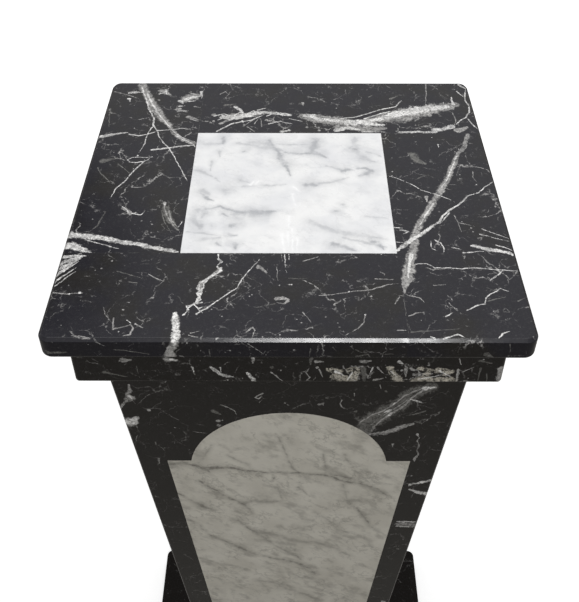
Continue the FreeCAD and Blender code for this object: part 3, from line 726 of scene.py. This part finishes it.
def scratched(recipe, colour, stone, worn):
    """Adds the fine texture of black marble: hairlines, short curls and specks, as strong as worn says."""
    grain = recipe.grain
    broken = recipe.ramp(recipe.noise(grain, 2.5, 4, 0.75), 0.4, 0.6)

    # Hairlines, coarse and fine: edges of wandering cells, kept where a coarse noise is high.
    for size, bend, share, strength in ((46, 34, 0.015, 0.8), (23, 22, 0.018, 0.45)):
        crooked = recipe.wandered(grain, bend, size * 0.7, 5)
        hair = recipe.ramp(recipe.cells(crooked, size), share, share / 4)
        patches = recipe.ramp(recipe.noise(grain, size * 0.8, 3), 0.5, 0.6)
        hair = recipe.math("MULTIPLY", recipe.math("MULTIPLY", hair, patches), broken)
        colour = recipe.mix(recipe.math("MULTIPLY", hair, strength * worn), colour, stone.vein_grey_and_highlight)

    # Curls: edges of small, strongly bent cells, in loose clusters.
    bent = recipe.wandered(grain, 14, 9, 4)
    curl = recipe.ramp(recipe.cells(bent, 12), 0.05, 0.01)
    clusters = recipe.ramp(recipe.noise(grain, 9, 5, 0.8), 0.55, 0.66)
    curl = recipe.math("MULTIPLY", curl, clusters)
    colour = recipe.mix(recipe.math("MULTIPLY", curl, 0.3 * worn), colour, stone.vein_grey_and_highlight)

    # Specks: a few pale grains.
    speck = recipe.ramp(recipe.cells(grain, 5, "F1"), 0.15, 0.05)
    chosen = recipe.ramp(recipe.noise(grain, 9, 3), 0.57, 0.64)
    speck = recipe.math("MULTIPLY", speck, chosen)
    return recipe.mix(recipe.math("MULTIPLY", speck, 0.5 * worn), colour, stone.vein_white)


def white_marble(name, found, shift, base, shade, vein, turn=0.0, gloss=0.25, soft=2.2, body=1.0):
    """Pale marble with soft grey veins that run down to the right, and placed ones over them."""
    crystal_white = bpy.context.scene.pedestal_stone.crystal
    recipe = Recipe(name, shift)
    level = recipe.node("ShaderNodeMapping", {"Vector": recipe.place, "Rotation": (0, 0, -turn)}).outputs[0]
    level = recipe.vector("ADD", level, shift)
    slanted = recipe.node(
        "ShaderNodeMapping",
        {"Vector": level, "Rotation": STREAK_TILT, "Scale": STREAK_STRETCH},
        vector_type="TEXTURE",
    ).outputs[0]

    cloud = recipe.noise(recipe.grain, 34, 4, 0.6)
    colour = recipe.mix(recipe.ramp(cloud, 0.35, 0.68), base, shade)
    drift = recipe.noise(slanted, 9, 4, 0.62)
    seam = recipe.ramp(recipe.math("ABSOLUTE", recipe.math("SUBTRACT", drift, 0.5)), 0.045, 0.0)
    seam = recipe.math("MULTIPLY", seam, recipe.ramp(recipe.noise(recipe.grain, 20, 3), 0.42, 0.62))
    colour = recipe.mix(recipe.math("MULTIPLY", seam, 0.4 * body), colour, vein)
    smoke = recipe.ramp(recipe.noise(slanted, 13, 5, 0.6), 0.48, 0.72, 0, 0.5 * body)
    colour = recipe.mix(smoke, colour, vein)

    # Placed veins: a dark core in a soft halo. Faint routes are bright crystal instead.
    wander = recipe.wandered(recipe.place, 4, 9, 4)
    ragged = recipe.math("SUBTRACT", recipe.noise(recipe.grain, 3, 5, 0.75), 0.5)
    ragged = recipe.math("MULTIPLY", ragged, WHITE_FRAY)
    fade = recipe.ramp(recipe.noise(recipe.grain, 8, 3), 0.3, 0.6, 0.45, 1.0)
    for tone, strength, tinted in ((GREY, 0.6, vein), (WHITE, 0.95, vein), (FAINT, 0.9, crystal_white)):
        if found[tone]:
            edge = recipe.math("ADD", recipe.nearest(wander, found[tone]), ragged)
            core = recipe.ramp(edge, soft, 0.2, 0, 0.65)
            halo = recipe.ramp(edge, 3 * soft, 0.5, 0, 0.4)
            mask = recipe.math("MULTIPLY", recipe.math("ADD", core, halo), fade)
            colour = recipe.mix(recipe.math("MULTIPLY", mask, strength), colour, tinted)

    crystal = recipe.noise(recipe.grain, 0.9, 2, 0.6)
    colour = recipe.mix(recipe.ramp(crystal, 0.4, 0.75, 0, 0.12), colour, shade)
    polish = recipe.ramp(cloud, 0.3, 0.7, gloss * 0.85, gloss * 1.2)
    return recipe.finish(colour, polish, crystal, lift=0.02)


def sawn_stone(name):
    """Dull limestone with saw marks, for the blocks and plugs inside."""
    stone = bpy.context.scene.pedestal_stone
    recipe = Recipe(name)
    grit = recipe.noise(recipe.place, 2.5, 4, 0.7)
    colour = recipe.mix(recipe.ramp(grit, 0.35, 0.7), stone.limestone, stone.limestone_dark)
    parts = recipe.node("ShaderNodeSeparateXYZ", {0: recipe.wandered(recipe.place, 1.5, 40)}).outputs
    marks = recipe.math("SINE", recipe.math("MULTIPLY", parts["Z"], SAW_MARKS))
    height = recipe.math("ADD", recipe.math("MULTIPLY", marks, 0.3), grit)
    return recipe.finish(colour, recipe.ramp(grit, 0.3, 0.7, 0.75, 0.95), height, lift=0.3)


def dress(names, material):
    """Gives CAD nodes this material in every slot."""
    for name in names:
        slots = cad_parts[name].material_slots
        if not slots:
            raise ValueError(f"{name} has no material slot")
        for slot in slots:
            slot.material = material


# ------------------------------------------------------------------ settings
def tint(label, text, colour):
    """A colour setting, in linear light."""
    return FloatVectorProperty(
        name=label, description=text, default=colour, subtype="COLOR", size=3, min=0, max=1)


class StoneSettings(bpy.types.PropertyGroup):
    """Colours and polish of the stones."""

    black: tint("Black", "Ground of the black marble", (0.0082, 0.0076, 0.0125))
    black_warm: tint("Warm black", "Browner clouds in the black marble", (0.0105, 0.0090, 0.0080))
    fleck: tint("Fleck", "Fine grey flecks in the black marble", (0.042, 0.042, 0.044))
    vein_white: tint("White vein", "Bright veins in the black marble", (0.95, 0.94, 0.92))
    # The grey vein colour is also the colour of the painted highlights on the shaft's upright edges and the
    # neck's right front corner.
    vein_grey_and_highlight: tint("Grey vein", "Mottled veins in the black marble", (0.50, 0.49, 0.475))
    vein_faint: tint("Faint vein", "Dim veins in the black marble", (0.19, 0.187, 0.175))
    vein_cream: tint("Cream vein", "Blocks of pale stone in the neck", (0.66, 0.62, 0.53))
    crystal: tint("Crystal", "Bright streaks in the white marble", (0.97, 0.97, 0.97))
    inlay: tint("Inlay", "Ground of the white square in the top", (0.885, 0.885, 0.88))
    inlay_shade: tint("Inlay shade", "Greyer clouds of the white square", (0.78, 0.785, 0.80))
    inlay_vein: tint("Inlay vein", "Veins of the white square", (0.42, 0.43, 0.45))
    panel: tint("Panel", "Ground of the shaft's pale panels", (0.725, 0.70, 0.625))
    panel_shade: tint("Panel shade", "Greyer clouds of the pale panels", (0.62, 0.595, 0.525))
    panel_vein: tint("Panel vein", "Veins of the pale panels", (0.20, 0.19, 0.165))
    limestone: tint("Limestone", "Sawn stone inside the shaft", (0.42, 0.39, 0.33))
    limestone_dark: tint("Dark limestone", "Darker grains of the sawn stone", (0.29, 0.26, 0.22))
    polish: FloatProperty(
        name="Polish", description="Roughness of the black marble", default=0.16, min=0, max=1)


class StudioSettings(bpy.types.PropertyGroup):
    """Floor, lamps and camera."""

    floor_side: FloatProperty(name="Floor", description="Side of the floor", default=14, subtype="DISTANCE")
    floor_dark: tint("Dark floor", "Darker paint, to all but the camera", (0.40, 0.385, 0.355))
    floor_light: tint("Light floor", "Lighter paint, to all but the camera", (0.45, 0.435, 0.405))
    sky: FloatProperty(name="Sky", description="Strength of the even light", default=0.34, min=0)
    overhead: FloatProperty(
        name="Overhead", description="Power of the lamp above", default=13.1, min=0, subtype="POWER")
    front: FloatProperty(
        name="Front", description="Power of the lamp in front", default=8.0, min=0, subtype="POWER")
    camera_place: FloatVectorProperty(
        name="Camera", description="Where the camera stands", default=(0.0030, -0.5461, 1.3232),
        subtype="XYZ")
    heading: FloatProperty(
        name="Heading", description="Turn to the right", default=math.radians(-0.288), subtype="ANGLE")
    pitch: FloatProperty(
        name="Pitch", description="Tilt below level", default=math.radians(41.239), subtype="ANGLE")
    roll: FloatProperty(
        name="Roll", description="Lean of the camera", default=math.radians(0.08), subtype="ANGLE")
    lens: FloatProperty(name="Lens", description="Focal length in mm", default=52.03, min=1)
    shift: FloatVectorProperty(
        name="Shift", description="Offset of the picture", default=(0.0, -0.0766), size=2)


# ------------------------------------------------------------------ operators
class PEDESTAL_OT_top(bpy.types.Operator):
    """Veins the four strips and the white square of the top"""

    bl_idname = "pedestal.finish_top"
    bl_label = "Finish Top"

    def execute(self, context):
        stone = context.scene.pedestal_stone
        edge = stretches(SLAB_EDGE, on_slab_edge)
        strips = {
            "top_left_strip": (LEFT_STRIP, (41, 7, 3)),
            "top_front_strip": (FRONT_STRIP, (5, 83, 29)),
            "top_right_strip": (RIGHT_STRIP, (210, 31, 57)),
            "top_back_strip": (BACK_STRIP, (97, 160, 11)),
        }
        for name, (routes, shift) in strips.items():
            found = stretches(routes, on_top)
            if name in ("top_front_strip", "top_right_strip"):
                found = merged(found, edge)
            dress([name], black_marble(f"{name}_marble", found, shift, cool=True))
        inlay = stretches(INLAY, on_top)
        dress(["top_inlay"], white_marble(
            "inlay_marble", inlay, (13, 5, 71), stone.inlay, stone.inlay_shade, stone.inlay_vein,
            gloss=0.3, soft=2.6, body=0.45))
        return {"FINISHED"}


class PEDESTAL_OT_neck(bpy.types.Operator):
    """Veins the two layers of the neck"""

    bl_idname = "pedestal.finish_neck"
    bl_label = "Finish Neck"

    def execute(self, context):
        plate = [stretches(NECK_UPPER, on_neck)]
        collar = [stretches(NECK_COLLAR, on_neck)]
        layers = (
            (plate, PLATE_START, PLATE_DEPTH, PLATE_SEED),
            (collar, COLLAR_START, COLLAR_DEPTH, COLLAR_SEED),
        )
        for quarters in (1, 2, 3):
            place = turned(on_neck, quarters)
            for found, start, depth, seed in layers:
                drawn = drifting_veins(
                    seed + quarters, 2 * NECK_HALF, NECK_PRESS * depth, count=11, slope=1.2)
                routes = [(tone, thick, *((x, y / NECK_PRESS + start, w) for x, y, w in points))
                          for tone, thick, *points in drawn]
                found.append(stretches(routes, place))
        dress(["neck_backing_plate"], black_marble("backing_plate_marble", merged(*plate), (300, 9, 40)))
        strips = [f"neck_collar_{side}_strip" for side in SIDES]
        dress(strips, black_marble("collar_marble", merged(*collar), (17, 240, 90)))
        return {"FINISHED"}


class PEDESTAL_OT_shaft(bpy.types.Operator):
    """Veins the four leaning faces: a black frame and a pale panel on each"""

    bl_idname = "pedestal.finish_shaft"
    bl_label = "Finish Shaft"

    def execute(self, context):
        stone = context.scene.pedestal_stone
        for quarters, side in enumerate(SIDES):
            place = turned(on_shaft, quarters)
            shift = (60 * quarters, 11, 130 * quarters)
            bold = drifting_veins(
                FRAME_SEED + quarters, 2 * HEAD_HALF, FACE_LENGTH, count=46, slope=2.2)
            soft = drifting_veins(
                PANEL_SEED + quarters, PANEL_SPAN, FACE_LENGTH, count=30, slope=0.75, steps=(5, 13), bend=0.2)
            if side == "front":
                bold = [*FRONT_FACE, *below(bold, FRAME_PLACED)]
                soft = [*FRONT_PANEL, *below(soft, PANEL_PLACED)]
            pieces = [f"shaft_{side}_{part}" for part in ("head", "left_stile", "right_stile", "foot_rail")]
            # The frame pieces get a painted highlight along their upright edges.
            dress(pieces, black_marble(
                f"shaft_{side}_marble", stretches(bold, place), shift, edge_highlight=True, worn=0.4))
            dress([f"shaft_{side}_panel"], white_marble(
                f"panel_{side}_marble", stretches(soft, place), shift,
                stone.panel, stone.panel_shade, stone.panel_vein, turn=quarters * math.pi / 2, gloss=0.35))
        return {"FINISHED"}


class PEDESTAL_OT_base(bpy.types.Operator):
    """Veins the foot collar and the two layers of the base"""

    bl_idname = "pedestal.finish_base"
    bl_label = "Finish Base"

    def execute(self, context):
        reach = 2 * base_high.x
        for number, name in enumerate(("foot_collar", "base_plate", "plinth_plate")):
            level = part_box(name)[1].z / MM
            routes = drifting_veins(BASE_SEED + number, reach, reach, count=9, slope=0.7)
            found = stretches(routes, lambda x, y: Vector((x, y - reach / 2, level)))
            shift = (33 * number, 400, 19)
            dress([name], black_marble(f"{name}_marble", found, shift, shine=0.03, worn=0.3))
        return {"FINISHED"}


class PEDESTAL_OT_core(bpy.types.Operator):
    """Gives the blocks and plugs inside a sawn finish"""

    bl_idname = "pedestal.finish_core"
    bl_label = "Finish Core"

    def execute(self, context):
        inside = [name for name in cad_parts
                  if name.startswith("corner_block") or name.endswith("_plug")]
        dress(inside, sawn_stone("sawn_limestone"))
        return {"FINISHED"}


class PEDESTAL_OT_stage(bpy.types.Operator):
    """Builds the floor, the even light, the lamps and the camera"""

    bl_idname = "pedestal.build_stage"
    bl_label = "Build Stage"

    def execute(self, context):
        studio = context.scene.pedestal_studio
        lay_floor(studio)
        light_world(context.scene, studio)
        hang_lamp("overhead_lamp", studio.overhead, place=(0.0, 0.15, 2.3), size=(1.3, 1.3))
        hang_lamp("front_lamp", studio.front, place=(0.13, -1.35, 2.0), size=(0.46, 0.09))
        place_camera(context.scene, studio)
        context.scene.view_settings.view_transform = "Standard"
        return {"FINISHED"}


def lay_floor(studio):
    """A pale floor that is white to the camera and greyer to the stone's reflections."""
    mesh = bpy.data.meshes.new("floor")
    shape = bmesh.new()
    bmesh.ops.create_grid(shape, x_segments=1, y_segments=1, size=studio.floor_side / 2)
    shape.to_mesh(mesh)
    shape.free()
    floor = bpy.data.objects.new("floor", mesh)
    bpy.context.scene.collection.objects.link(floor)

    recipe = Recipe("floor_paint")
    speckle = recipe.noise(recipe.place, 14, 3)
    paint = recipe.mix(speckle, studio.floor_dark, studio.floor_light)
    dull = recipe.node("ShaderNodeBsdfDiffuse", {"Color": paint})
    pale = recipe.node("ShaderNodeBsdfDiffuse", {"Color": (0.75, 0.75, 0.75, 1)})
    reach = recipe.ramp(recipe.vector("LENGTH", recipe.place), GLOW_NEAR, GLOW_FAR, NEAR_GLOW, 1.0)
    glow = recipe.node("ShaderNodeEmission", {"Color": (1, 1, 1, 1), "Strength": reach})
    seen = recipe.node("ShaderNodeAddShader", {0: pale.outputs[0], 1: glow.outputs[0]})
    ray = recipe.node("ShaderNodeLightPath").outputs["Is Camera Ray"]
    both = recipe.node("ShaderNodeMixShader", {0: ray, 1: dull.outputs[0], 2: seen.outputs[0]})
    recipe.node("ShaderNodeOutputMaterial", {"Surface": both.outputs[0]})
    mesh.materials.append(recipe.material)


def light_world(scene, studio):
    """Even light all round. The camera sees white, and so does the polish, but for a dim side and band."""
    world = bpy.data.worlds.new("studio")
    world.use_nodes = True
    scene.world = world
    tree = world.node_tree
    tree.nodes.clear()

    def step(kind, inputs, **settings):
        return add_node(tree, kind, inputs, settings).outputs

    def ramp(value, start, end, low, high):
        inputs = {0: value, 1: start, 2: end, 3: low, 4: high}
        return step("ShaderNodeMapRange", inputs, interpolation_type="SMOOTHSTEP")[0]

    seen = step("ShaderNodeLightPath", {})
    heading = step("ShaderNodeTexCoord", {})["Generated"]
    facing = step("ShaderNodeVectorMath", {0: heading, 1: DIM_SIDE}, operation="DOT_PRODUCT")["Value"]
    dim = ramp(facing, DIM_START, DIM_FULL, 1.0, DIM_LEVEL)
    height = step("ShaderNodeSeparateXYZ", {0: heading})["Z"]
    band = ramp(height, BAND_LOW, BAND_HIGH, BAND_LEVEL, 1.0)
    mirrored = step("ShaderNodeMath", {0: dim, 1: band}, operation="MULTIPLY")[0]
    unseen = step("ShaderNodeMapRange", {0: seen["Is Glossy Ray"], 3: studio.sky, 4: mirrored})[0]
    level = step("ShaderNodeMapRange", {0: seen["Is Camera Ray"], 3: unseen, 4: 1.0})[0]
    light = step("ShaderNodeBackground", {"Color": (1, 1, 1, 1), "Strength": level})[0]
    step("ShaderNodeOutputWorld", {0: light})


def hang_lamp(name, power, place, size):
    """A soft rectangular lamp that points a little below the top."""
    data = bpy.data.lights.new(name, "AREA")
    data.shape = "RECTANGLE"
    data.size, data.size_y = size
    data.energy = power
    lamp = bpy.data.objects.new(name, data)
    lamp.location = place
    aim = Vector((0, 0, (TOP_LEVEL - LAMP_AIM_DOWN) * MM)) - lamp.location
    lamp.rotation_euler = aim.to_track_quat("-Z", "Y").to_euler()
    bpy.context.scene.collection.objects.link(lamp)


def place_camera(scene, studio):
    """The camera of the reference view."""
    heading, pitch, roll = studio.heading, studio.pitch, studio.roll
    ahead = Vector((
        math.sin(heading) * math.cos(pitch), math.cos(heading) * math.cos(pitch), -math.sin(pitch)))
    level = Vector((math.cos(heading), -math.sin(heading), 0))
    down = ahead.cross(level)
    right = math.cos(roll) * level + math.sin(roll) * down
    up = math.sin(roll) * level - math.cos(roll) * down
    data = bpy.data.cameras.new("camera")
    data.lens = studio.lens
    data.shift_x, data.shift_y = studio.shift
    camera = bpy.data.objects.new("camera", data)
    turn = Matrix((right, up, -ahead)).transposed().to_4x4()
    camera.matrix_world = Matrix.Translation(studio.camera_place) @ turn
    scene.collection.objects.link(camera)
    scene.camera = camera


class PEDESTAL_PT_panel(bpy.types.Panel):
    """Lists the stones, the studio and the steps"""

    bl_label = "Pedestal"
    bl_space_type = "VIEW_3D"
    bl_region_type = "UI"
    bl_category = "Pedestal"

    def draw(self, context):
        for settings in (context.scene.pedestal_stone, context.scene.pedestal_studio):
            box = self.layout.box()
            for name in settings.bl_rna.properties.keys():
                if name not in ("rna_type", "name"):
                    box.prop(settings, name)
        for operator in OPERATORS:
            self.layout.operator(operator.bl_idname)


OPERATORS = (
    PEDESTAL_OT_top,
    PEDESTAL_OT_neck,
    PEDESTAL_OT_shaft,
    PEDESTAL_OT_base,
    PEDESTAL_OT_core,
    PEDESTAL_OT_stage,
)
CLASSES = (StoneSettings, StudioSettings, *OPERATORS, PEDESTAL_PT_panel)


def register():
    for kind in CLASSES:
        bpy.utils.register_class(kind)
    bpy.types.Scene.pedestal_stone = PointerProperty(type=StoneSettings)
    bpy.types.Scene.pedestal_studio = PointerProperty(type=StudioSettings)


def unregister():
    del bpy.types.Scene.pedestal_studio
    del bpy.types.Scene.pedestal_stone
    for kind in reversed(CLASSES):
        bpy.utils.unregister_class(kind)


def main():
    register()
    bpy.ops.pedestal.finish_top()
    bpy.ops.pedestal.finish_neck()
    bpy.ops.pedestal.finish_shaft()
    bpy.ops.pedestal.finish_base()
    bpy.ops.pedestal.finish_core()
    bpy.ops.pedestal.build_stage()


if __name__ == "__main__":
    main()
